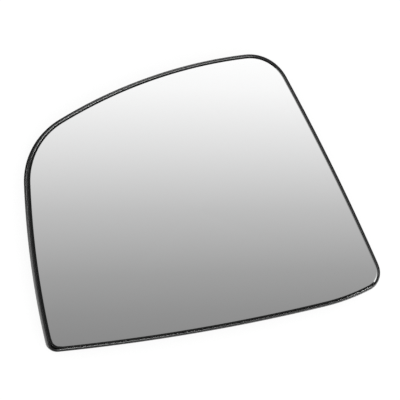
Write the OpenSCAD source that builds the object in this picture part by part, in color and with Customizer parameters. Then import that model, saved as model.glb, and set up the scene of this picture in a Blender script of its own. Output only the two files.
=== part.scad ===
// Car door mirror glass: the replaceable convex mirror that clips onto the
// adjuster inside a door mirror housing.
//
// Three pieces, glued into one: the silvered glass, the adhesive pad behind it and
// the black moulded plate, whose lip runs round the glass and whose back
// carries the clip ring, the spring hooks and the sockets for the adjuster's
// rods.
//
// Frame, in millimetres: the part lies on its back on the clip ring. The
// origin is the centre of the ring's end face, +Z points out of the mirror,
// +X runs along the lower edge and +Y up the mirror as it hangs in its housing.

/* [Edge outline] */
// Radius of the long arc of the top edge
top_r = 246; // [240:1:252]
// Turn of the top edge, in degrees
top_turn = 23.7; // [23.1:0.1:24.3]
// Radius of the wide corner at the upper left
upper_left_r = 35.6; // [32:0.4:40]
// Turn of the wide corner, in degrees
upper_left_turn = 60.4; // [59.4:0.2:61.4]
// Radius of the left edge
left_r = 390; // [374:2:406]
// Turn of the left edge, in degrees
left_turn = 11.7; // [11.2:0.1:12.2]
// Radius of the lower left corner
lower_left_r = 5.1; // [4.5:0.2:7.9]
// Turn of the lower edge, in degrees
lower_turn = 7.3; // [6.8:0.1:7.8]
// Radius where the lower edge lifts towards the tip
toe_r = 112; // [106:1:118]
// Turn of that stretch, in degrees
toe_turn = 13.2; // [12.2:0.2:14.2]
// Radius of the tip at the lower right
tip_r = 9.4; // [8:0.2:11]
// Turn of the tip, in degrees
tip_turn = 82; // [81:0.5:83]
// Radius where the tip runs into the right edge
heel_r = 17; // [13:1:25]
// Turn of that stretch, in degrees
heel_turn = 7.8; // [6.8:0.2:8.8]
// Turn of the nearly straight right edge, in degrees
right_turn = 3.7; // [3.2:0.1:4.2]
// Radius of the shoulder at the upper right
shoulder_r = 21.5; // [18:0.5:25]
// Turn of the shoulder, in degrees
shoulder_turn = 68.8; // [67.8:0.2:69.8]

/* [Glass] */
// Radius of the convex face
dome_r = 1400; // [1200:50:2000]
// Thickness of the silvered glass
glass_t = 2; // [1.6:0.1:2.4]
// Width of the ground bevel round the glass
bevel = 0.55; // [0.3:0.05:0.7]
// Space between the glass and the lip round it
glass_gap = 0.2; // [0.1:0.05:0.4]

/* [Adhesive pad] */
// Thickness of the double-sided pad
pad_t = 0.8; // [0.5:0.1:1.2]
// How far the pad stays back from the edge of the glass
pad_back = 1.5; // [1:0.25:2]

/* [Lip and skirt] */
// Thickness of the lip
lip_t = 1.2; // [1:0.1:1.8]
// Height of the lip's crown above the edge of the glass
lip_rise = 0.4; // [0.2:0.1:0.8]
// Depth of the skirt's step below the crown
step_drop = 3.6; // [3:0.2:4.4]
// How far the skirt stands in below the step
step_in = 0.3; // [0.2:0.1:0.5]
// Thickness of the wall at the skirt
skirt_t = 1.3; // [1.2:0.1:1.8]
// Length of the skirt below the plate
skirt_h = 1.8; // [1.4:0.2:2.4]

/* [Plate] */
// Thickness of the plate
plate_t = 2; // [1.6:0.1:2.6]
// Height of the clip ring, from its end face to the back of the plate
ring_h = 9; // [8:0.5:12]
// Inner radius of the clip ring
ring_r = 34; // [31:0.5:36]
// Thickness of the ring
ring_t = 2; // [1.6:0.2:2.4]
// Width of the slots that part the ring
slot_w = 9; // [6:1:14]
// Height over which the ring stays whole above its slots
slot_foot = 0.6; // [0.4:0.1:1]
// Height of the flat boss that the ring stands on
boss_drop = 1; // [0.8:0.1:1.4]
// Width of the boss outside the ring
boss_w = 3; // [2:0.5:5]
// Number of ribs outside the ring
rib_count = 12; // [8:1:16]
// Thickness of a rib
rib_t = 1.4; // [1:0.1:1.8]
// Depth of the ribs where they leave the ring
rib_h = 3; // [2:0.5:4]
// Radius of the round rib between the ring and the edge
hoop_r = 50; // [46:1:53]

/* [Hooks and sockets] */
// Number of spring hooks inside the ring
hook_count = 6; // [4:1:8]
// Space between the hooks' noses and the ring
hook_space = 2.4; // [1.8:0.2:3.4]
// Width of a hook
hook_w = 8; // [6:0.5:10]
// Thickness of a hook's tongue
hook_t = 1.5; // [1.2:0.1:1.8]
// Reach of a hook's nose
hook_nose = 1.1; // [0.8:0.1:1.4]
// Height of the slope that leads over the nose
hook_lead = 1.4; // [1:0.1:1.8]
// Distance of a rod socket from the centre
socket_at = 17; // [16:0.5:18]
// Radius of a rod socket's bore
socket_r = 3.1; // [2.9:0.1:3.4]
// Depth of a rod socket's bore
socket_depth = 6; // [4:0.5:6.5]
// Wall round a rod socket
socket_wall = 1.8; // [1.4:0.1:2.2]

/* [Hidden] */
$fn = 96;

// Heights below the top of the glass, followed along the dome
glass_back = -glass_t;
pad_back_face = glass_back - pad_t;
plate_back = pad_back_face - plate_t;
skirt_foot = plate_back - skirt_h;
step_at = lip_rise - step_drop;
apex_z = ring_h - plate_back;

// Distances inwards from the outer edge of the lip
glass_in = lip_t + glass_gap;
pad_in = glass_in + pad_back;
lip_round = lip_t / 2;
inner_round = lip_t * 3 / 8;
glass_arris = 0.25;

// The edge is a closed chain of tangent arcs, each with a radius and a turn,
// counter-clockwise from the foot of the left edge
first_angle = -93.2;
first_point = [-78, -59.2];
edge_sag = 0.03;
most_turn = 7;
lower_left_turn = 360 - lower_turn - toe_turn - tip_turn - heel_turn - right_turn
    - shoulder_turn - top_turn - upper_left_turn - left_turn;
turns = [lower_turn, toe_turn, tip_turn, heel_turn, right_turn,
    shoulder_turn, top_turn, upper_left_turn, left_turn, lower_left_turn];
LOWER = 0;
RIGHT = 4;
arcs = [0 : len(turns) - 1];

function at(a) = [cos(a), sin(a)];
function total(v, n) = n == 0 ? 0 * v[0] : v[n - 1] + total(v, n - 1);

// Each arc moves the edge by its radius times its chord; the radii of the
// lower edge and of the right edge are the two that close the outline
starts = [for (i = arcs) first_angle + total(turns, i)];
chords = [for (i = arcs) at(starts[i] + turns[i]) - at(starts[i])];
given = [0, toe_r, tip_r, heel_r, 0, shoulder_r, top_r, upper_left_r, left_r, lower_left_r];
rest = -total([for (i = arcs) given[i] * chords[i]], len(turns));
turned = cross(chords[LOWER], chords[RIGHT]);
lower_r = cross(rest, chords[RIGHT]) / turned;
right_r = cross(chords[LOWER], rest) / turned;
radii = [for (i = arcs) i == LOWER ? lower_r : i == RIGHT ? right_r : given[i]];
moves = [for (i = arcs) radii[i] * chords[i]];
centres = [for (i = arcs) first_point + total(moves, i) - radii[i] * at(starts[i])];

// An arc is cut into steps short enough to stay within edge_sag of its curve
function steps(i) = ceil(turns[i] / min(most_turn, 2 * acos(1 - edge_sag / radii[i])));

// The outline, moved inwards by a distance
function outline(inset) = [
    for (i = arcs)
        for (k = [0 : steps(i) - 1])
            centres[i] + (radii[i] - inset) * at(starts[i] + turns[i] * k / steps(i))
];

// Height of the dome over a point, measured from the ring's end face
function dome_z(p) = apex_z - dome_r + sqrt(dome_r * dome_r - p * p);
function lift(p, h) = [p.x, p.y, dome_z(p) + h];
function ring_at(inset, h) = [for (p = outline(inset)) lift(p, h)];

// The face of the dome inside the pad's edge, as rings from the middle out
face_steps = 4;
function face_rings(h) = [
    for (f = [1 : face_steps])
        [for (p = outline(pad_in)) lift(p * f / face_steps, h)]
];
function backwards(v) = [for (i = [len(v) - 1 : -1 : 0]) v[i]];

// A closed skin over a stack of rings, all with the same number of points,
// with a middle point at either end; from ring number under on, the skin looks
// down and its panes are split the other way, so that it fits the skin below
module skin(rings, top_mid, under_mid, under) {
    n = len(rings[0]);
    bands = [0 : len(rings) - 2];
    last = len(rings) * n + 1;
    points = concat([top_mid], [for (r = rings) each r], [under_mid]);
    faces = concat(
        [for (k = [0 : n - 1]) [0, 1 + (k + 1) % n, 1 + k]],
        [for (j = bands) for (k = [0 : n - 1])
            let (a = 1 + j * n + k, b = 1 + j * n + (k + 1) % n)
            each j < under
                ? [[a, b, b + n], [a, b + n, a + n]]
                : [[a, b, a + n], [b, b + n, a + n]]],
        [for (k = [0 : n - 1]) [last, last - n + k, last - n + (k + 1) % n]]
    );
    polyhedron(points = points, faces = faces, convexity = 8);
}

// Silvered convex glass with a ground bevel in front and a broken edge behind
module mirror_glass() {
    front = concat(face_rings(0), [ring_at(glass_in + bevel, 0)]);
    rear = concat([ring_at(glass_in + glass_arris, glass_back)], backwards(face_rings(glass_back)));
    rings = concat(
        front,
        [ring_at(glass_in, -bevel), ring_at(glass_in, glass_back + glass_arris)],
        rear
    );
    color([0.82, 0.84, 0.86])
        skin(rings, [0, 0, apex_z], [0, 0, apex_z + glass_back], len(front));
}

// Double-sided adhesive pad between the glass and the plate
module adhesive_pad() {
    rings = concat(face_rings(glass_back), backwards(face_rings(pad_back_face)));
    color([0.2, 0.2, 0.21])
        skin(rings, [0, 0, apex_z + glass_back], [0, 0, apex_z + pad_back_face], face_steps);
}

// A quarter circle of the crown's rounding, as distances inwards and heights
function quarter(x, h, r, from) = [
    for (a = [0 : 30 : 90]) [x + r * cos(from + a), h + r * sin(from + a)]
];

// Plate, lip and skirt: one wall that follows both the outline and the dome
module plate_shell() {
    crown_in = quarter(lip_t - inner_round, lip_rise - inner_round, inner_round, 0);
    crown_out = quarter(lip_round, lip_rise - lip_round, lip_round, 90);
    wall = [
        [0, step_at + step_in],
        [step_in, step_at],
        [step_in, skirt_foot + step_in],
        [step_in * 2, skirt_foot],
        [skirt_t, skirt_foot],
        [skirt_t, plate_back]
    ];
    path = concat([[lip_t, pad_back_face]], crown_in, crown_out, wall);
    rings = concat(
        face_rings(pad_back_face),
        [for (q = path) ring_at(q[0], q[1])],
        backwards(face_rings(plate_back))
    );
    skin(rings, [0, 0, apex_z + pad_back_face], [0, 0, ring_h], face_steps + len(path) - 1);
}

// Depth of the ribs below the plate: full at the ring, and within the skirt
// from rib_low_r out, where the mirror's nearest edges lie
rib_low_r = 56;
rib_end = skirt_h - 0.3;
function rib_depth(r) =
    let (t = (r - ring_r) / (rib_low_r - ring_r))
    rib_h - (rib_h - rib_end) * min(1, max(0, t));

// The space that the ribs may fill, following the dome out past the far tip
far_r = max([for (p = outline(0)) norm(p)]);
module rib_space() {
    reach = [0 : ring_r / 4 : far_r + ring_r / 4];
    rotate_extrude()
        polygon(concat(
            [for (r = reach) [r, dome_z([r, 0]) + plate_back + sunk]],
            backwards([for (r = reach) [r, dome_z([r, 0]) + plate_back - rib_depth(r)]])
        ));
}

// Flat boss that carries the ring; it is sunk into the plate's back
boss_r = ring_r + ring_t + boss_w;
sunk = plate_t / 2;
module boss() {
    translate([0, 0, ring_h - boss_drop])
        cylinder(r = boss_r, h = boss_drop + sunk / 2);
}

// Clip ring, parted by four slots
module clip_ring() {
    outer = ring_r + ring_t;
    floor_z = ring_h - boss_drop;
    lead_in = 0.6;
    difference() {
        rotate_extrude()
            polygon([
                [ring_r + lead_in, 0],
                [outer, 0],
                [outer, floor_z + sunk / 2],
                [ring_r, floor_z + sunk / 2],
                [ring_r, lead_in]
            ]);
        for (a = [45 : 90 : 315])
            rotate(a)
                translate([ring_r - ring_t, -slot_w / 2, -1])
                    cube([3 * ring_t, slot_w, floor_z - slot_foot + 1]);
    }
}

// Spring hook: a thin tongue with a nose that turns outwards at its tip
hook_r = ring_r - hook_space - hook_nose - hook_t;
hook_tip = 1;
hook_edge = 0.5;
nose_land = 0.5;
nose_back = 0.4;
module hook() {
    root_z = ring_h - boss_drop + sunk / 2;
    back = hook_r + hook_t;
    land_z = hook_tip + hook_lead;
    translate([0, hook_w / 2, 0])
        rotate([90, 0, 0])
            linear_extrude(hook_w)
                polygon([
                    [hook_r, root_z],
                    [hook_r, hook_tip + hook_edge],
                    [hook_r + hook_edge, hook_tip],
                    [back, hook_tip],
                    [back + hook_nose, land_z],
                    [back + hook_nose, land_z + nose_land],
                    [back, land_z + nose_land + nose_back],
                    [back, root_z]
                ]);
}

// Socket that a rod of the adjuster pushes into; its bore is blind
module socket() {
    mouth_z = ring_h - boss_drop - socket_depth;
    root_z = ring_h - boss_drop + sunk / 2;
    translate([socket_at, 0, 0])
        difference() {
            translate([0, 0, mouth_z])
                cylinder(r = socket_r + socket_wall, h = root_z - mouth_z);
            translate([0, 0, mouth_z - 1])
                cylinder(r = socket_r, h = socket_depth + 1);
        }
}

// Ribs from the ring to the skirt and a round rib that ties them together
module ribs() {
    rib_in = ring_r + ring_t / 2;
    intersection() {
        linear_extrude(apex_z)
            intersection() {
                union() {
                    for (i = [0 : rib_count - 1])
                        rotate((i + 0.5) * 360 / rib_count)
                            translate([rib_in, -rib_t / 2])
                                square([far_r, rib_t]);
                    difference() {
                        circle(r = hoop_r + rib_t / 2);
                        circle(r = hoop_r - rib_t / 2);
                    }
                }
                polygon(outline(skirt_t / 2 + step_in / 2));
            }
        rib_space();
    }
}

module backing_plate() {
    color([0.07, 0.07, 0.08])
        union() {
            plate_shell();
            boss();
            clip_ring();
            ribs();
            for (i = [0 : hook_count - 1])
                rotate(i * 360 / hook_count)
                    hook();
            for (a = [0 : 90 : 270])
                rotate(a)
                    socket();
        }
}

mirror_glass();
adhesive_pad();
backing_plate();
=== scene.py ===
import math

import bmesh
import bpy
from mathutils import Matrix, Vector


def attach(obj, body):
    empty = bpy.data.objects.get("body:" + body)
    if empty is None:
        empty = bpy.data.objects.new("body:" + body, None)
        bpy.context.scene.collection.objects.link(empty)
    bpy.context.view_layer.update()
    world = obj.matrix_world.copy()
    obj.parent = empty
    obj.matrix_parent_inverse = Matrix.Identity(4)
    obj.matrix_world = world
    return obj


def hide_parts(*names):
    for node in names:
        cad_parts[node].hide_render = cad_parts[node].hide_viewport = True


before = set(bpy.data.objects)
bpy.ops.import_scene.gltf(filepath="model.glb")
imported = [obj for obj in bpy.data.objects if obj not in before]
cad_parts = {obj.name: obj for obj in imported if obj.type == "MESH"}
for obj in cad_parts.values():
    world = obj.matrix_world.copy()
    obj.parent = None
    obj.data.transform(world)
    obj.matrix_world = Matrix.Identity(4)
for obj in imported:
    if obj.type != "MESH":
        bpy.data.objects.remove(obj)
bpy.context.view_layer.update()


# The mirror glass: float glass, 2 mm thick, slumped to a dome of 1.4 m radius and silvered behind.
# Its edge is cut to the housing's outline and ground with a small bevel, and it
# sits in the plate's lip with a hair of room all round.
MM = 0.001
GLASS_THICK = 2.0 * MM
DOME_RADIUS = 1400 * MM
GLASS_TOP = 13.8 * MM
LIP_THICK = 1.2 * MM
GLASS_GAP = 0.2 * MM
CORNER_ROUND = 5.6 * MM

# how far inside the glass's edge the even rings of its faces end, and one more lies
FACE_IN = 2.2 * MM
BAND_IN = 1.3 * MM

# the bevel is widest towards one heading, in degrees, and narrowest towards the opposite one
BEVEL_WIDE = 0.84 * MM
BEVEL_DEEP = 0.63 * MM
BEVEL_UNEVEN = 0.31
WIDE_SIDE = 216

# the outline starts at the foot of the left edge; all skins stay a hair inside the solids
EDGE_FROM = Vector((-78 * MM, -59.2 * MM))
EDGE_ANGLE = -93.2
EDGE_HAIR = 0.04 * MM

# the finishes on the glass, in the order of their slots
FACE, EDGE, PAINT, BEVEL = range(4)

# how far from the middle the rings of a domed face lie, as shares of its rim
FACE_SHARES = [0.06, 0.14, 0.24, 0.34, 0.44, 0.54, 0.64, 0.73, 0.81, 0.88, 0.94]

# radius and turn of each stretch of the edge, anticlockwise from its lower left;
# the long lower and right stretches get the radii that close the outline
STRETCHES = {
    "lower": [None, 7.3],
    "toe": [112 * MM, 13.2],
    "tip": [9.4 * MM, 82],
    "heel": [17 * MM, 7.8],
    "right": [None, 3.7],
    "shoulder": [21.5 * MM, 68.8],
    "top": [246 * MM, 23.7],
    "upper_left": [35.6 * MM, 60.4],
    "left": [390 * MM, 11.7],
    "lower_left": [5.1 * MM, 81.4],
}


def heading(angle):
    a = math.radians(angle)
    return Vector((math.cos(a), math.sin(a)))


def edge_stretches():
    """Centre, radius, first angle and turn of each arc of the outline."""
    chords, starts, angle = {}, {}, EDGE_ANGLE
    for name, (radius, turn) in STRETCHES.items():
        starts[name] = angle
        chords[name] = heading(angle + turn) - heading(angle)
        angle += turn
    rest = Vector((0, 0))
    for name, (radius, turn) in STRETCHES.items():
        if radius is not None:
            rest -= radius * chords[name]
    a, b = chords["lower"], chords["right"]
    across = a.x * b.y - a.y * b.x
    closing = {
        "lower": (rest.x * b.y - rest.y * b.x) / across,
        "right": (a.x * rest.y - a.y * rest.x) / across,
    }
    arcs, corner = [], EDGE_FROM.copy()
    for name, (radius, turn) in STRETCHES.items():
        r = closing[name] if radius is None else radius
        centre = corner - r * heading(starts[name])
        arcs.append((centre, r, starts[name], turn))
        corner = centre + r * heading(starts[name] + turn)
    return arcs


def edge_marks(arc_step=2.5 * MM, most_turn=4.0):
    """Centre, radius and heading of each point of the outline."""
    marks = []
    for centre, radius, start, turn in edge_stretches():
        steps = math.ceil(max(turn / most_turn, radius * math.radians(turn) / arc_step))
        marks += [(centre, radius, start + turn * k / steps) for k in range(steps)]
    return marks


def bevel_share(angle):
    """The bevel's width and depth at a heading, as a share of the mean."""
    return 1 + BEVEL_UNEVEN * math.cos(math.radians(angle - WIDE_SIDE))


def edge_line(inset, bevel=0.0):
    """The outline moved inwards by a distance and by the bevel's width, as a ring of points."""
    return [
        centre + (radius - inset - bevel * bevel_share(a) - EDGE_HAIR) * heading(a)
        for centre, radius, a in edge_marks()]


def glass_line(inset, bevel=0.0):
    """The glass's edge moved inwards; its lower left corner is cut rounder than the lip's."""
    centre, radius, start, turn = edge_stretches()[-1]
    glass_in = LIP_THICK + GLASS_GAP
    slack = (CORNER_ROUND - radius + glass_in) / math.cos(math.radians(turn / 2))
    middle = centre - slack * heading(start + turn / 2)
    reach = CORNER_ROUND - inset - bevel * bevel_share(start + turn / 2) - EDGE_HAIR
    line = []
    for p in edge_line(glass_in + inset, bevel):
        away = p - middle
        side = (math.degrees(math.atan2(away.y, away.x)) - start) % 360
        in_corner = side < turn and away.length > reach
        line.append(middle + away.normalized() * reach if in_corner else p)
    return line


def dome_height(p):
    """How high the glass's front stands over a point of the plan."""
    return GLASS_TOP - DOME_RADIUS + math.sqrt(DOME_RADIUS ** 2 - p.x ** 2 - p.y ** 2)


def on_dome(line, below, share=1.0):
    """A ring drawn in to a share of its size and laid at a depth under the glass's front."""
    return [(p.x * share, p.y * share, dome_height(p * share) - below) for p in line]


def skin_over(name, rings, first_middle, last_middle, band_slots):
    """A closed skin over rings of equal count, with a fan at either end."""
    mesh = bmesh.new()
    rows = [[mesh.verts.new(p) for p in ring] for ring in rings]
    n = len(rows[0])
    top = mesh.verts.new(first_middle)
    low = mesh.verts.new(last_middle)
    for k in range(n):
        mesh.faces.new((top, rows[0][k], rows[0][(k + 1) % n])).material_index = band_slots[0]
    for j in range(len(rows) - 1):
        for k in range(n):
            i = (k + 1) % n
            face = mesh.faces.new((rows[j][k], rows[j + 1][k], rows[j + 1][i], rows[j][i]))
            face.material_index = band_slots[j + 1]
    for k in range(n):
        mesh.faces.new((low, rows[-1][(k + 1) % n], rows[-1][k])).material_index = band_slots[-1]
    for face in mesh.faces:
        face.smooth = True
    for edge in mesh.edges:
        if len({face.material_index for face in edge.link_faces}) > 1:
            edge.smooth = False
    data = bpy.data.meshes.new(name)
    mesh.to_mesh(data)
    mesh.free()
    piece = bpy.data.objects.new(name, data)
    bpy.context.scene.collection.objects.link(piece)
    return piece


def finish_named(name):
    """A new material with its tree cleared down to one Principled shader."""
    finish = bpy.data.materials.new(name)
    finish.use_nodes = True
    nodes, links = finish.node_tree.nodes, finish.node_tree.links
    nodes.clear()
    shader = nodes.new("ShaderNodeBsdfPrincipled")
    out = nodes.new("ShaderNodeOutputMaterial")
    links.new(shader.outputs["BSDF"], out.inputs["Surface"])
    return finish, nodes, links, shader


def grain(nodes, links, scale, detail, rough=0.5):
    """Noise on the piece's own coordinates."""
    where = nodes.new("ShaderNodeTexCoord")
    noise = nodes.new("ShaderNodeTexNoise")
    noise.inputs["Scale"].default_value = scale
    noise.inputs["Detail"].default_value = detail
    noise.inputs["Roughness"].default_value = rough
    links.new(where.outputs["Object"], noise.inputs["Vector"])
    return noise


def spread(nodes, links, source, low, high):
    """Noise mapped onto a range of values."""
    span = nodes.new("ShaderNodeMapRange")
    span.inputs["From Min"].default_value = 0.25
    span.inputs["From Max"].default_value = 0.75
    span.inputs["To Min"].default_value = low
    span.inputs["To Max"].default_value = high
    links.new(source, span.inputs["Value"])
    return span.outputs["Result"]


def two_tones(nodes, links, noise, shader, first, second):
    """Colours a shader from one tone to another by a noise."""
    tone = nodes.new("ShaderNodeMix")
    tone.data_type = "RGBA"
    tone.inputs["A"].default_value = (*first, 1)
    tone.inputs["B"].default_value = (*second, 1)
    links.new(noise.outputs["Fac"], tone.inputs["Factor"])
    links.new(tone.outputs["Result"], shader.inputs["Base Color"])


def bumped(nodes, links, noise, shader, strength, distance):
    """Roughens a shader's surface by a noise."""
    bump = nodes.new("ShaderNodeBump")
    bump.inputs["Strength"].default_value = strength
    bump.inputs["Distance"].default_value = distance
    links.new(noise.outputs["Fac"], bump.inputs["Height"])
    links.new(bump.outputs["Normal"], shader.inputs["Normal"])


def silvering():
    """The mirror's face, with the faintest wiping marks."""
    finish, nodes, links, shader = finish_named("silvered_glass_face")
    shader.inputs["Metallic"].default_value = 1.0
    wipe = grain(nodes, links, 22.0, 4.0)
    two_tones(nodes, links, wipe, shader, (0.895, 0.898, 0.900), (0.905, 0.905, 0.905))
    links.new(spread(nodes, links, wipe.outputs["Fac"], 0.012, 0.026), shader.inputs["Roughness"])
    return finish


def ground_edge():
    """The cut edge, fine-ground and grey-green."""
    finish, nodes, links, shader = finish_named("ground_glass_edge")
    grit = grain(nodes, links, 5200.0, 3.0)
    two_tones(nodes, links, grit, shader, (0.30, 0.33, 0.32), (0.46, 0.50, 0.48))
    links.new(spread(nodes, links, grit.outputs["Fac"], 0.16, 0.34), shader.inputs["Roughness"])
    bumped(nodes, links, grit, shader, 0.25, 0.03 * MM)
    return finish


def bevel_glass():
    """Light enters the bevel and the silvering sends it back: seen from outside, a mirror
    that leans to the middle of the glass."""
    finish, nodes, links, shader = finish_named("bevelled_glass")
    shader.inputs["Metallic"].default_value = 1.0
    grit = grain(nodes, links, 1800.0, 3.0)
    two_tones(nodes, links, grit, shader, (0.82, 0.84, 0.83), (0.88, 0.89, 0.885))
    links.new(spread(nodes, links, grit.outputs["Fac"], 0.04, 0.08), shader.inputs["Roughness"])
    face = nodes.new("ShaderNodeNewGeometry")
    lean = nodes.new("ShaderNodeVectorMath")
    lean.operation = "MULTIPLY"
    lean.inputs[1].default_value = (-0.315, -0.315, 1)
    links.new(face.outputs["True Normal"], lean.inputs[0])
    unit = nodes.new("ShaderNodeVectorMath")
    unit.operation = "NORMALIZE"
    links.new(lean.outputs[0], unit.inputs[0])
    links.new(unit.outputs[0], shader.inputs["Normal"])
    return finish


def backing_paint():
    """The grey protective paint behind the silvering."""
    finish, nodes, links, shader = finish_named("mirror_backing_paint")
    streak = grain(nodes, links, 160.0, 5.0)
    two_tones(nodes, links, streak, shader, (0.16, 0.17, 0.18), (0.21, 0.22, 0.23))
    shader.inputs["Roughness"].default_value = 0.6
    return finish


# the front from its middle to its rim, then the bevel and the foot of the bevel
glass_rim = glass_line(FACE_IN)
rings, slots = [], [FACE]
for share in FACE_SHARES:
    rings.append(on_dome(glass_rim, 0, share))
    slots.append(FACE)
rings += [on_dome(glass_line(inset), 0) for inset in (FACE_IN, BAND_IN)]
rings.append(on_dome(glass_line(0, BEVEL_WIDE), 0))
rings.append([
    (x, y, z - BEVEL_DEEP * bevel_share(a))
    for (x, y, z), (_, _, a) in zip(on_dome(glass_line(0), 0), edge_marks())
])
slots += [FACE, FACE, BEVEL, EDGE]

# inset, depth and finish of each ring down the edge, round the arris and onto the back
edge_profile = [
    (0.0, GLASS_THICK / 2, EDGE),
    (0.0, GLASS_THICK - 0.25 * MM, EDGE),
    (0.03 * MM, GLASS_THICK - 0.18 * MM, EDGE),
    (0.22 * MM, GLASS_THICK - 0.01 * MM, EDGE),
    (0.30 * MM, GLASS_THICK, PAINT),
    (FACE_IN, GLASS_THICK, PAINT),
]
for inset, below, slot in edge_profile:
    rings.append(on_dome(glass_line(inset), below))
    slots.append(slot)
for share in reversed(FACE_SHARES):
    rings.append(on_dome(glass_rim, GLASS_THICK, share))
    slots.append(PAINT)
front_middle = (0, 0, GLASS_TOP)
back_middle = (0, 0, GLASS_TOP - GLASS_THICK)
glass = skin_over("mirror_glass_domed", rings, front_middle, back_middle, slots)
for finish in (silvering(), ground_edge(), backing_paint(), bevel_glass()):
    glass.data.materials.append(finish)
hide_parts("mirror_glass")
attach(glass, "root")


# The backing plate: one black ABS moulding. Its floor follows the glass's dome, its lip stands a
# little proud of the glass with a rounded crown, and its side wall steps in to a
# thin skirt. Behind it are the clip ring, spring hooks, rod sockets and ribs.
PAD_THICK = 0.8 * MM
PLATE_THICK = 2.0 * MM
LIP_RISE = 0.4 * MM
CROWN_ROUND = 0.6 * MM
INNER_ROUND = 0.45 * MM
STEP_DROP = 3.6 * MM
STEP_IN = 0.3 * MM
SKIRT = 1.8 * MM
SKIRT_WALL = 1.3 * MM
FLOOR_IN = 2.6 * MM
FLOOR_RIM_IN = 3.6 * MM
RING_HEIGHT = 9.0 * MM
RING_RADIUS = 34.0 * MM
RING_THICK = 2.0 * MM
RING_PARTS = 4
SLOT_WIDTH = 9.0 * MM
LEAD_IN = 0.6 * MM
BOSS_DROP = 1.0 * MM
BOSS_RADIUS = RING_RADIUS + RING_THICK + 3.0 * MM
SUNK = 0.5 * MM
RIB_COUNT = 12
RIB_THICK = 1.4 * MM
RIB_DEEP = 3.0 * MM
RIB_LOW = SKIRT - 0.3 * MM
RIB_LOW_FROM = 56 * MM
RIB_STEPS = 14
HOOP_RADIUS = 50.0 * MM
HOOK_COUNT = 6
HOOK_RADIUS = 29.0 * MM
HOOK_WIDTH = 8.0 * MM
SOCKET_COUNT = 4
SOCKET_AT = 17.0 * MM
SOCKET_BORE = 3.1 * MM
SOCKET_OUT = 4.9 * MM
SOCKET_DEEP = 6.0 * MM

# these are depths below the glass's front, and so are all depths in the moulding's section
recess = GLASS_THICK + PAD_THICK
plate_under = recess + PLATE_THICK
skirt_foot = plate_under + SKIRT
step_low = STEP_DROP - LIP_RISE


def rounded(cx, cy, radius, first, last, steps):
    """Points of an arc in a section drawn as inset and depth below the glass."""
    return [
        (cx + radius * math.cos(math.radians(first + (last - first) * k / steps)),
         cy - radius * math.sin(math.radians(first + (last - first) * k / steps)))
        for k in range(steps + 1)
    ]


# inset and depth of the moulding's section: floor and inner wall, crown, outer wall and
# step, skirt, and the back
inner_wall = [
    (FLOOR_IN, recess),
    (1.75 * MM, recess),
    (1.52 * MM, recess - 0.05 * MM),
    (LIP_THICK, recess - 0.2 * MM),
    (LIP_THICK, 1.2 * MM),
    (LIP_THICK, 0.35 * MM),
]
crown = (
    rounded(LIP_THICK - INNER_ROUND, INNER_ROUND - LIP_RISE, INNER_ROUND, 0, 90, 6)
    + rounded(CROWN_ROUND, CROWN_ROUND - LIP_RISE, CROWN_ROUND, 90, 180, 8)
)
outer_wall = [
    (0, 0.6 * MM),
    (0, 1.6 * MM),
    (0, step_low - STEP_IN - 0.3 * MM),
    (0, step_low - STEP_IN - 0.10 * MM),
    (0.03 * MM, step_low - STEP_IN + 0.02 * MM),
    (STEP_IN - 0.05 * MM, step_low - 0.04 * MM),
    (STEP_IN, step_low + 0.08 * MM),
]
skirt = [
    (STEP_IN, 4.4 * MM),
    (STEP_IN, skirt_foot - 0.4 * MM),
    (STEP_IN + 0.07 * MM, skirt_foot - 0.17 * MM),
    (STEP_IN + 0.24 * MM, skirt_foot - 0.03 * MM),
    (STEP_IN + 0.45 * MM, skirt_foot),
    (SKIRT_WALL - 0.25 * MM, skirt_foot),
    (SKIRT_WALL - 0.07 * MM, skirt_foot - 0.06 * MM),
    (SKIRT_WALL, skirt_foot - 0.25 * MM),
    (SKIRT_WALL, plate_under + 0.25 * MM),
    (SKIRT_WALL + 0.08 * MM, plate_under + 0.07 * MM),
    (SKIRT_WALL + 0.28 * MM, plate_under),
    (FLOOR_IN, plate_under),
]
lip_section = inner_wall + crown + outer_wall + skirt
plate_rim = edge_line(FLOOR_RIM_IN)
plate_shares = FACE_SHARES + [1.0]
rings = [on_dome(plate_rim, recess, share) for share in plate_shares]
rings += [on_dome(edge_line(inset), below) for inset, below in lip_section]
rings += [on_dome(plate_rim, plate_under, share) for share in reversed(plate_shares)]
floor_middle = (0, 0, GLASS_TOP - recess)
boss_middle = (0, 0, RING_HEIGHT)
one_slot = [0] * (len(rings) + 1)
plate = skin_over("backing_plate_moulding", rings, floor_middle, boss_middle, one_slot)


def turned(mesh, section, first=lambda r: 0.0, last=lambda r: 360.0, steps=96):
    """A section of radius and height turned about Z, whole or between two angles, which may
    depend on the radius."""
    whole = last(section[0][0]) - first(section[0][0]) > 359.9
    rows = []
    for k in range(steps if whole else steps + 1):
        row = []
        for r, z in section:
            angle = math.radians(first(r) + (last(r) - first(r)) * k / steps)
            row.append(mesh.verts.new((r * math.cos(angle), r * math.sin(angle), z)))
        rows.append(row)
    n = len(section)
    for k in range(steps):
        here, there = rows[k], rows[(k + 1) % len(rows)]
        for j in range(n):
            mesh.faces.new((here[j], here[(j + 1) % n], there[(j + 1) % n], there[j]))
    if not whole:
        mesh.faces.new(list(reversed(rows[0])))
        mesh.faces.new(rows[-1])


def from_mesh(name, mesh, smooth_angle=35, weld=1e-7):
    """An object from a bmesh, faces turned outwards and shaded smooth up to an angle."""
    bmesh.ops.remove_doubles(mesh, verts=mesh.verts, dist=weld)
    bmesh.ops.recalc_face_normals(mesh, faces=mesh.faces)
    for face in mesh.faces:
        face.smooth = True
    for edge in mesh.edges:
        if len(edge.link_faces) == 2 and edge.calc_face_angle(0) > math.radians(smooth_angle):
            edge.smooth = False
    data = bpy.data.meshes.new(name)
    mesh.to_mesh(data)
    mesh.free()
    piece = bpy.data.objects.new(name, data)
    bpy.context.scene.collection.objects.link(piece)
    return piece


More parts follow.
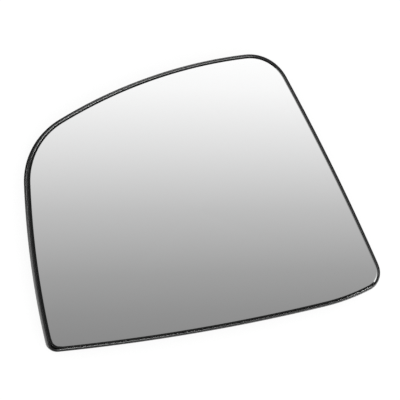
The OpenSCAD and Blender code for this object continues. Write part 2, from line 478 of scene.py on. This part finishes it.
# boss, clip ring in four parts, and the round rib
root = RING_HEIGHT - BOSS_DROP
ring_out = RING_RADIUS + RING_THICK
boss_section = [
    (0, root),
    (BOSS_RADIUS - 0.3 * MM, root),
    (BOSS_RADIUS - 0.08 * MM, root + 0.08 * MM),
    (BOSS_RADIUS, root + 0.3 * MM),
    (BOSS_RADIUS, root + BOSS_DROP),
    (0, root + BOSS_DROP + SUNK),
]
ring_section = [
    (RING_RADIUS + LEAD_IN, 0),
    (ring_out - 0.25 * MM, 0),
    (ring_out - 0.07 * MM, 0.07 * MM),
    (ring_out, 0.25 * MM),
    (ring_out, root - 0.35 * MM),
    (ring_out + 0.12 * MM, root - 0.1 * MM),
    (ring_out + 0.4 * MM, root + 0.02 * MM),
    (ring_out, root + SUNK),
    (RING_RADIUS, root + SUNK),
    (RING_RADIUS - 0.4 * MM, root + 0.02 * MM),
    (RING_RADIUS - 0.12 * MM, root - 0.1 * MM),
    (RING_RADIUS, root - 0.35 * MM),
    (RING_RADIUS, LEAD_IN),
]


def half_slot(r):
    """Half the angle, in degrees, that a slot of the ring takes at a radius."""
    return math.degrees(math.asin(SLOT_WIDTH / 2 / r))


mesh = bmesh.new()
turned(mesh, boss_section)
part_turn = 360 / RING_PARTS
for part in range(RING_PARTS):
    turned(
        mesh, ring_section,
        lambda r: (part - 0.5) * part_turn + half_slot(r),
        lambda r: (part + 0.5) * part_turn - half_slot(r), 30)


def rib_depth(r):
    """How deep a rib hangs: full at the ring, and within the skirt from RIB_LOW_FROM out."""
    fall = min(1.0, max(0.0, (r - RING_RADIUS) / (RIB_LOW_FROM - RING_RADIUS)))
    return RIB_DEEP - (RIB_DEEP - RIB_LOW) * fall


hoop_roof = dome_height(Vector((HOOP_RADIUS, 0))) - plate_under
hoop_foot = hoop_roof - rib_depth(HOOP_RADIUS)
half = RIB_THICK / 2
turned(mesh, [
    (HOOP_RADIUS - half, hoop_roof + SUNK),
    (HOOP_RADIUS - half + 0.08 * MM, hoop_foot + 0.22 * MM),
    (HOOP_RADIUS - half + 0.3 * MM, hoop_foot),
    (HOOP_RADIUS + half - 0.3 * MM, hoop_foot),
    (HOOP_RADIUS + half - 0.08 * MM, hoop_foot + 0.22 * MM),
    (HOOP_RADIUS + half, hoop_roof + SUNK),
])
turnings = from_mesh("ring_and_boss", mesh)

# one spring hook, one rod socket and one rib, each set round the middle by Geometry Nodes
mesh = bmesh.new()
hook_side = [
    (0, root + SUNK),
    (0, 1.5 * MM),
    (0.5 * MM, 1.0 * MM),
    (1.5 * MM, 1.0 * MM),
    (2.45 * MM, 2.3 * MM),
    (2.6 * MM, 2.6 * MM),
    (2.55 * MM, 2.9 * MM),
    (1.5 * MM, 3.3 * MM),
    (1.5 * MM, root + SUNK),
]
near = [mesh.verts.new((x, -HOOK_WIDTH / 2, z)) for x, z in hook_side]
far = [mesh.verts.new((x, HOOK_WIDTH / 2, z)) for x, z in hook_side]
mesh.faces.new(near)
mesh.faces.new(list(reversed(far)))
for k in range(len(hook_side)):
    i = (k + 1) % len(hook_side)
    mesh.faces.new((near[i], near[k], far[k], far[i]))
bmesh.ops.bevel(
    mesh, geom=list(mesh.edges), offset=0.14 * MM, segments=2, affect="EDGES", profile=0.6)
hook = from_mesh("spring_hook", mesh)

mesh = bmesh.new()
mouth = root - SOCKET_DEEP
turned(mesh, [
    (SOCKET_BORE, mouth + 0.35 * MM),
    (SOCKET_BORE + 0.35 * MM, mouth),
    (SOCKET_OUT - 0.3 * MM, mouth),
    (SOCKET_OUT - 0.08 * MM, mouth + 0.08 * MM),
    (SOCKET_OUT, mouth + 0.3 * MM),
    (SOCKET_OUT, root - 0.4 * MM),
    (SOCKET_OUT + 0.14 * MM, root - 0.12 * MM),
    (SOCKET_OUT + 0.4 * MM, root + 0.02 * MM),
    (SOCKET_OUT, root + SUNK),
    (SOCKET_BORE, root + SUNK),
    (SOCKET_BORE, root - 0.02 * MM),
], steps=48)
socket = from_mesh("rod_socket", mesh)

# the rib is one metre long, and each copy is stretched to its own reach; its taper is worked
# out for a rib RIB_RUN times as long as the stretch over which the ribs get lower
RIB_RUN = 1.35
rib_from = RING_RADIUS + RING_THICK / 2


def rib_section(depth):
    return [
        (-half, SUNK),
        (-half + 0.08 * MM, 0.22 * MM - depth),
        (-half + 0.3 * MM, -depth),
        (half - 0.3 * MM, -depth),
        (half - 0.08 * MM, 0.22 * MM - depth),
        (half, SUNK),
    ]


mesh = bmesh.new()
bars = []
for k in range(RIB_STEPS + 1):
    x = k / RIB_STEPS
    depth = rib_depth(rib_from + x * (RIB_LOW_FROM - RING_RADIUS) * RIB_RUN)
    bars.append([mesh.verts.new((x, y, z)) for y, z in rib_section(depth)])
for here, there in zip(bars, bars[1:]):
    for j in range(len(here)):
        i = (j + 1) % len(here)
        mesh.faces.new((here[j], here[i], there[i], there[j]))
mesh.faces.new(list(reversed(bars[0])))
mesh.faces.new(bars[-1])
rib = from_mesh("radial_rib", mesh)


def reach_to_edge(angle, inset, parallel=1e-12):
    """Distance from the centre to the outline, along a direction of the plan."""
    ray, line = heading(angle), edge_line(inset)
    for k, p in enumerate(line):
        q = line[(k + 1) % len(line)]
        e = q - p
        across = ray.x * e.y - ray.y * e.x
        if abs(across) < parallel:
            continue
        share = (p.x * ray.y - p.y * ray.x) / across
        reach = (p.x * e.y - p.y * e.x) / across
        if 0 <= share <= 1 and reach > 0:
            return reach
    raise ValueError("the ray misses the edge")


def set_round_tree():
    """Sets a piece on each point, turned and stretched as the point says, and lays it along the dome."""
    tree = bpy.data.node_groups.new("set_round_the_ring", "GeometryNodeTree")
    face = tree.interface
    face.new_socket("Geometry", in_out="INPUT", socket_type="NodeSocketGeometry")
    face.new_socket("Piece", in_out="INPUT", socket_type="NodeSocketObject")
    face.new_socket("Dome", in_out="INPUT", socket_type="NodeSocketFloat")
    face.new_socket("Finish", in_out="INPUT", socket_type="NodeSocketMaterial")
    face.new_socket("Geometry", in_out="OUTPUT", socket_type="NodeSocketGeometry")
    nodes, links = tree.nodes, tree.links
    given = nodes.new("NodeGroupInput")
    result = nodes.new("NodeGroupOutput")
    shape = nodes.new("GeometryNodeObjectInfo")
    links.new(given.outputs["Piece"], shape.inputs["Object"])
    turn = nodes.new("GeometryNodeInputNamedAttribute")
    turn.data_type = "FLOAT"
    turn.inputs["Name"].default_value = "turn"
    reach = nodes.new("GeometryNodeInputNamedAttribute")
    reach.data_type = "FLOAT"
    reach.inputs["Name"].default_value = "reach"
    spin = nodes.new("ShaderNodeCombineXYZ")
    links.new(turn.outputs["Attribute"], spin.inputs["Z"])
    stretch = nodes.new("ShaderNodeCombineXYZ")
    stretch.inputs["Y"].default_value = 1
    stretch.inputs["Z"].default_value = 1
    links.new(reach.outputs["Attribute"], stretch.inputs["X"])
    put = nodes.new("GeometryNodeInstanceOnPoints")
    links.new(given.outputs["Geometry"], put.inputs["Points"])
    links.new(shape.outputs["Geometry"], put.inputs["Instance"])
    links.new(spin.outputs[0], put.inputs["Rotation"])
    links.new(stretch.outputs[0], put.inputs["Scale"])
    real = nodes.new("GeometryNodeRealizeInstances")
    links.new(put.outputs["Instances"], real.inputs["Geometry"])
    where = nodes.new("GeometryNodeInputPosition")
    flat = nodes.new("ShaderNodeVectorMath")
    flat.operation = "MULTIPLY"
    flat.inputs[1].default_value = (1, 1, 0)
    links.new(where.outputs[0], flat.inputs[0])
    square = nodes.new("ShaderNodeVectorMath")
    square.operation = "DOT_PRODUCT"
    links.new(flat.outputs[0], square.inputs[0])
    links.new(flat.outputs[0], square.inputs[1])
    fall = nodes.new("ShaderNodeMath")
    fall.operation = "MULTIPLY"
    links.new(square.outputs["Value"], fall.inputs[0])
    links.new(given.outputs["Dome"], fall.inputs[1])
    lower = nodes.new("ShaderNodeCombineXYZ")
    links.new(fall.outputs[0], lower.inputs["Z"])
    move = nodes.new("GeometryNodeSetPosition")
    links.new(real.outputs[0], move.inputs["Geometry"])
    links.new(lower.outputs[0], move.inputs["Offset"])
    coat = nodes.new("GeometryNodeSetMaterial")
    links.new(move.outputs[0], coat.inputs["Geometry"])
    links.new(given.outputs["Finish"], coat.inputs["Material"])
    links.new(coat.outputs[0], result.inputs[0])
    return tree


def moulded_black():
    """Black moulding: satin, with a fine grain and a broad, faint unevenness."""
    finish, nodes, links, shader = finish_named("moulded_black_plastic")
    fine = grain(nodes, links, 2600.0, 2.0)
    broad = grain(nodes, links, 70.0, 4.0)
    two_tones(nodes, links, broad, shader, (0.0075, 0.0075, 0.0078), (0.0110, 0.0108, 0.0110))
    links.new(spread(nodes, links, broad.outputs["Fac"], 0.28, 0.34), shader.inputs["Roughness"])
    bumped(nodes, links, fine, shader, 0.12, 0.04 * MM)
    return finish


plastic = moulded_black()
around = set_round_tree()
sockets_of = {
    item.name: item.identifier
    for item in around.interface.items_tree if item.in_out == "INPUT"
}


def set_round(piece, places, dome=0.0):
    """Copies of a piece at (angle, radius, height, reach), as one plain mesh."""
    points = bpy.data.meshes.new("places")
    points.from_pydata([(*(heading(a) * r), z) for a, r, z, reach in places], [], [])
    turns = points.attributes.new("turn", "FLOAT", "POINT")
    turns.data.foreach_set("value", [math.radians(a) for a, r, z, reach in places])
    reaches = points.attributes.new("reach", "FLOAT", "POINT")
    reaches.data.foreach_set("value", [reach for a, r, z, reach in places])
    carrier = bpy.data.objects.new("places", points)
    bpy.context.scene.collection.objects.link(carrier)
    modifier = carrier.modifiers.new("round", "NODES")
    modifier.node_group = around
    modifier[sockets_of["Piece"]] = piece
    modifier[sockets_of["Dome"]] = dome
    modifier[sockets_of["Finish"]] = plastic
    bpy.context.view_layer.update()
    settled = carrier.evaluated_get(bpy.context.evaluated_depsgraph_get())
    made = bpy.data.meshes.new_from_object(settled)
    bpy.data.objects.remove(carrier)
    bpy.data.objects.remove(piece)
    return made


back_parts = [turnings.data]
bpy.data.objects.remove(turnings)
hook_places = [(360 / HOOK_COUNT * k, HOOK_RADIUS, 0, 1) for k in range(HOOK_COUNT)]
back_parts.append(set_round(hook, hook_places))
socket_places = [(360 / SOCKET_COUNT * k, SOCKET_AT, 0, 1) for k in range(SOCKET_COUNT)]
back_parts.append(set_round(socket, socket_places))
mid_skirt = SKIRT_WALL / 2 + STEP_IN / 2
rib_angles = [360 / RIB_COUNT * (k + 0.5) for k in range(RIB_COUNT)]
rib_places = [
    (angle, rib_from, GLASS_TOP - plate_under, reach_to_edge(angle, mid_skirt) - rib_from)
    for angle in rib_angles
]
back_parts.append(set_round(rib, rib_places, -1 / (2 * DOME_RADIUS)))

mesh = bmesh.new()
mesh.from_mesh(plate.data)
for part in back_parts:
    mesh.from_mesh(part)
for face in mesh.faces:
    face.material_index = 0
mesh.to_mesh(plate.data)
mesh.free()
plate.data.materials.clear()
plate.data.materials.append(plastic)
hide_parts("backing_plate")
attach(plate, "root")


# The adhesive pad: a die-cut sheet of thin closed-cell foam with adhesive on both faces. It bonds
# the glass's painted back to the plate's floor. Its own CAD solid is shown.
def closed_cell_foam():
    finish, nodes, links, shader = finish_named("closed_cell_foam")
    cells = grain(nodes, links, 3400.0, 2.0)
    two_tones(nodes, links, cells, shader, (0.060, 0.060, 0.064), (0.105, 0.105, 0.110))
    shader.inputs["Roughness"].default_value = 0.85
    bumped(nodes, links, cells, shader, 0.5, 0.06 * MM)
    return finish


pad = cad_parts["adhesive_pad"]
pad.data.materials.clear()
pad.data.materials.append(closed_cell_foam())


# Stage, light and camera: a plain white floor under the part, an even white room,
# and a graded panel overhead, which is what the mirror's face shows. What shines
# sees a dark tent round the panel, with cards and lights standing inside it.
def bare_finish(name):
    """A new material with nothing in its tree but the output."""
    finish, nodes, links, shader = finish_named(name)
    nodes.remove(shader)
    out = next(n for n in nodes if n.type == "OUTPUT_MATERIAL")
    return finish, nodes, links, out


def floor_white():
    """White to the camera, matt grey to all other light, and clear from below. To what shines it shows
    painted light: a glow that fades from bright on the lower edge's side to dim beyond, in place of the
    floor being lit there and shaded elsewhere."""
    finish, nodes, links, out = bare_finish("studio_floor")
    matt = nodes.new("ShaderNodeBsdfDiffuse")
    matt.inputs["Color"].default_value = (0.20, 0.20, 0.20, 1)
    seen = nodes.new("ShaderNodeLightPath")
    amount = nodes.new("ShaderNodeMath")
    amount.operation = "MULTIPLY"
    amount.inputs[1].default_value = 0.86
    links.new(seen.outputs["Is Camera Ray"], amount.inputs[0])
    lift = nodes.new("ShaderNodeEmission")
    links.new(amount.outputs[0], lift.inputs["Strength"])
    paper = nodes.new("ShaderNodeAddShader")
    links.new(matt.outputs[0], paper.inputs[0])
    links.new(lift.outputs[0], paper.inputs[1])
    # painted light: what shines sees the floor glow bright on the lower edge's side and fade to dim
    # beyond, standing in for light and shade on the floor
    where = nodes.new("ShaderNodeTexCoord")
    slope = nodes.new("ShaderNodeVectorMath")
    slope.operation = "DOT_PRODUCT"
    slope.inputs[1].default_value = (-0.1, -1, 0)
    links.new(where.outputs["Object"], slope.inputs[0])
    painted_light_fade = nodes.new("ShaderNodeMapRange")
    painted_light_fade.inputs["From Min"].default_value = -0.02
    painted_light_fade.inputs["From Max"].default_value = 0.03
    painted_light_fade.inputs["To Min"].default_value = 0.03
    painted_light_fade.inputs["To Max"].default_value = 0.7
    links.new(slope.outputs["Value"], painted_light_fade.inputs["Value"])
    painted_floor_light = nodes.new("ShaderNodeEmission")
    links.new(painted_light_fade.outputs["Result"], painted_floor_light.inputs["Strength"])
    view = nodes.new("ShaderNodeMixShader")
    links.new(seen.outputs["Is Glossy Ray"], view.inputs["Fac"])
    links.new(paper.outputs[0], view.inputs[1])
    links.new(painted_floor_light.outputs[0], view.inputs[2])
    clear = nodes.new("ShaderNodeBsdfTransparent")
    side = nodes.new("ShaderNodeNewGeometry")
    pick = nodes.new("ShaderNodeMixShader")
    links.new(side.outputs["Backfacing"], pick.inputs["Fac"])
    links.new(view.outputs[0], pick.inputs[1])
    links.new(clear.outputs[0], pick.inputs[2])
    links.new(pick.outputs[0], out.inputs["Surface"])
    return finish


def flat_sheet(name, half_x, half_y, centre):
    """A level sheet, sizes in metres."""
    data = bpy.data.meshes.new(name)
    corners = [(-half_x, -half_y, 0), (half_x, -half_y, 0), (half_x, half_y, 0), (-half_x, half_y, 0)]
    data.from_pydata(corners, [], [(0, 1, 2, 3)])
    sheet = bpy.data.objects.new(name, data)
    sheet.location = centre
    bpy.context.scene.collection.objects.link(sheet)
    return sheet


floor = flat_sheet("floor", 6, 6, (0, 0, 0))
floor.data.materials.append(floor_white())


# place along the panel, and brightness there
PANEL_TONES = (
    (0.0, 0.25),
    (0.12, 0.29),
    (0.25, 0.355),
    (0.465, 0.52),
    (0.675, 0.735),
    (0.89, 0.94),
    (1.0, 1.0),
)


def graded_panel():
    """White at the far end, running to mid grey at the near one, in the panel's own coordinates."""
    finish, nodes, links, out = bare_finish("graded_panel")
    where = nodes.new("ShaderNodeTexCoord")
    parts = nodes.new("ShaderNodeSeparateXYZ")
    links.new(where.outputs["Object"], parts.inputs[0])
    along = nodes.new("ShaderNodeMapRange")
    along.inputs["From Min"].default_value = -0.318
    along.inputs["From Max"].default_value = 0.372
    links.new(parts.outputs["Y"], along.inputs["Value"])
    ramp = nodes.new("ShaderNodeValToRGB")
    stops = ramp.color_ramp.elements
    for place, value in PANEL_TONES[1:-1]:
        stops.new(place)
    for stop, (place, value) in zip(stops, PANEL_TONES):
        stop.position = place
        stop.color = (value, value, value, 1)
    links.new(along.outputs["Result"], ramp.inputs["Fac"])
    glow = nodes.new("ShaderNodeEmission")
    glow.inputs["Strength"].default_value = 1.1
    links.new(ramp.outputs["Color"], glow.inputs["Color"])
    links.new(glow.outputs[0], out.inputs["Surface"])
    return finish


PANEL_HALF_X = 0.685
PANEL_HALF_Y = 0.42
PANEL_CENTRE = (0.235, 0, 1.6)
PANEL_TURN = -7.4
panel = flat_sheet("overhead_panel", PANEL_HALF_X, PANEL_HALF_Y, PANEL_CENTRE)
panel.rotation_euler = (0, 0, math.radians(PANEL_TURN))
panel.visible_camera = False
panel.data.materials.append(graded_panel())


def glow_of(name, strength):
    """An even white glow."""
    finish, nodes, links, out = bare_finish(name)
    glow = nodes.new("ShaderNodeEmission")
    glow.inputs["Strength"].default_value = strength
    links.new(glow.outputs[0], out.inputs["Surface"])
    return finish


def shine_only(sheet, finish):
    """A card that lights nothing and shows only in what shines."""
    sheet.data.materials.append(finish)
    sheet.visible_camera = False
    sheet.visible_diffuse = False
    sheet.visible_shadow = False


def round_wall(name, radius, low, high, first, last, steps):
    """A strip of upright wall round the part, between two headings."""
    data = bpy.data.meshes.new(name)
    feet = [heading(first + (last - first) * k / steps) * radius for k in range(steps + 1)]
    points = [(p.x, p.y, z) for z in (low, high) for p in feet]
    n = steps + 1
    data.from_pydata(points, [], [(k + 1, k, n + k, n + k + 1) for k in range(steps)])
    wall = bpy.data.objects.new(name, data)
    bpy.context.scene.collection.objects.link(wall)
    return wall


# the tent and the cards along the lower edge's side
TENT_TOP = 1.7
TENT_RADIUS = 2.5
CARD_RADIUS = 2.2
CARD_TOP = 1.66
LIGHT_RADIUS = 1.5
LIGHT_TOP = 1.4
tent_roof = flat_sheet("tent_roof", 2.6, 2.6, (0, 0, TENT_TOP))
shine_only(tent_roof, glow_of("tent_dim", 0.015))
tent_wall = round_wall("tent_wall", TENT_RADIUS, 0.0, TENT_TOP, 0, 360, 72)
shine_only(tent_wall, glow_of("tent_side", 0.12))
front_card = round_wall("front_card", CARD_RADIUS, 0.0, CARD_TOP, 225, 362, 24)
shine_only(front_card, glow_of("front_white", 0.5))
front_roof = flat_sheet("front_roof", 1.4, 0.6, (0, -1.55, 1.65))
shine_only(front_roof, glow_of("front_roof_white", 0.5))

# two cards to the left, and two low lights in front, which draw the lines along the lip
side_card = round_wall("side_card", CARD_RADIUS, 0.0, CARD_TOP, 172, 212, 16)
shine_only(side_card, glow_of("side_white", 4.0))
left_card = round_wall("left_card", CARD_RADIUS, 0.0, 1.3, 158, 172, 12)
shine_only(left_card, glow_of("left_white", 10.0))
front_light = round_wall("front_light", LIGHT_RADIUS, 0.4, LIGHT_TOP, 281, 301, 12)
shine_only(front_light, glow_of("front_bright", 6.0))
corner_light = round_wall("corner_light", LIGHT_RADIUS, 0.3, LIGHT_TOP, 301, 337, 16)
shine_only(corner_light, glow_of("corner_bright", 10.0))

# a slanted light and a card beyond the top edge
top_light = flat_sheet("top_light", 0.15, 0.53, (0.18, 1.225, 1.275))
top_light.rotation_euler = (math.radians(-45), 0, 0)
shine_only(top_light, glow_of("top_white", 13.0))
back_card = round_wall("back_card", 2.0, 0.2, 1.3, 62, 84, 8)
shine_only(back_card, glow_of("back_white", 4.0))

world = bpy.data.worlds.new("white_room")
bpy.context.scene.world = world
world.use_nodes = True
sky = world.node_tree.nodes["Background"]
sky.inputs["Color"].default_value = (1, 1, 1, 1)
sky.inputs["Strength"].default_value = 1.0

# the camera stands REACH metres from the top of the dome, TILT degrees off the vertical
# towards the heading SIDE, turned by ROLL; it aims AIM_RIGHT and AIM_UP beside the dome's top
TILT = 14.431
SIDE = 177.567
ROLL = 8.525
REACH = 1.1
AIM_RIGHT = 2.68 * MM
AIM_UP = 4.985 * MM
SENSOR = 36
LENS = 198.6
apex = Vector((0, 0, GLASS_TOP))
tilt, side, roll = math.radians(TILT), math.radians(SIDE), math.radians(ROLL)
towards = Vector((
    math.sin(tilt) * math.cos(side), math.sin(tilt) * math.sin(side), math.cos(tilt)))
up = Vector((math.sin(roll), math.cos(roll), 0))
up = (up - towards * up.dot(towards)).normalized()
right = up.cross(towards)
eye = apex + towards * REACH
aim = apex + right * AIM_RIGHT + up * AIM_UP
back = (eye - aim).normalized()
up = (up - back * up.dot(back)).normalized()
right = up.cross(back)
camera = bpy.data.objects.new("camera", bpy.data.cameras.new("camera"))
camera.data.sensor_width = SENSOR
camera.data.lens = LENS
camera.matrix_world = Matrix((
    (right.x, up.x, back.x, eye.x),
    (right.y, up.y, back.y, eye.y),
    (right.z, up.z, back.z, eye.z),
    (0, 0, 0, 1),
))
bpy.context.scene.collection.objects.link(camera)
bpy.context.scene.camera = camera
bpy.context.scene.view_settings.view_transform = "Standard"
